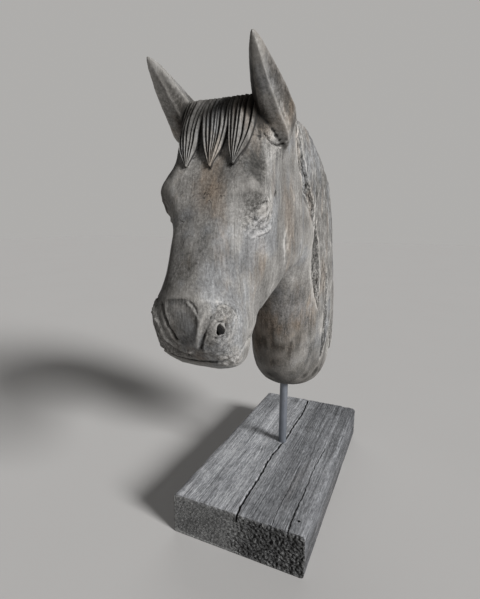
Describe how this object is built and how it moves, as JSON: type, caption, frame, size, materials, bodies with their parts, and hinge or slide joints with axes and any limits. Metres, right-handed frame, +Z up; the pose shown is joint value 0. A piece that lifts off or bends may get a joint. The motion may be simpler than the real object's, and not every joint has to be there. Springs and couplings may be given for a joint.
{
  "type": "carved horse head sculpture",
  "caption": "Carved and weathered wooden horse head and neck held on an upright steel rod set in a block of old timber, made to stand on a shelf or table.",
  "frame": {"origin": "centre of the timber block's underside", "axes": "+Z up along the rod; the horse looks along -Y; its left side is +X; the block's length runs along Y"},
  "size_m": [0.2, 0.5248, 0.6176],
  "materials": {
    "carved_wood": "hand carved, weathered grey-brown wood with dark stain in the hollows and rubbed highlights",
    "dark_steel": "plain round bar, dark blue-grey mill finish",
    "old_timber": "reclaimed sawn timber, silver-grey, long drying cracks, dark rough end grain"
  },
  "bodies": {
    "root": {"horse_head": "carved_wood", "steel_rod": "dark_steel", "timber_base": "old_timber"}
  },
  "joints": []
}
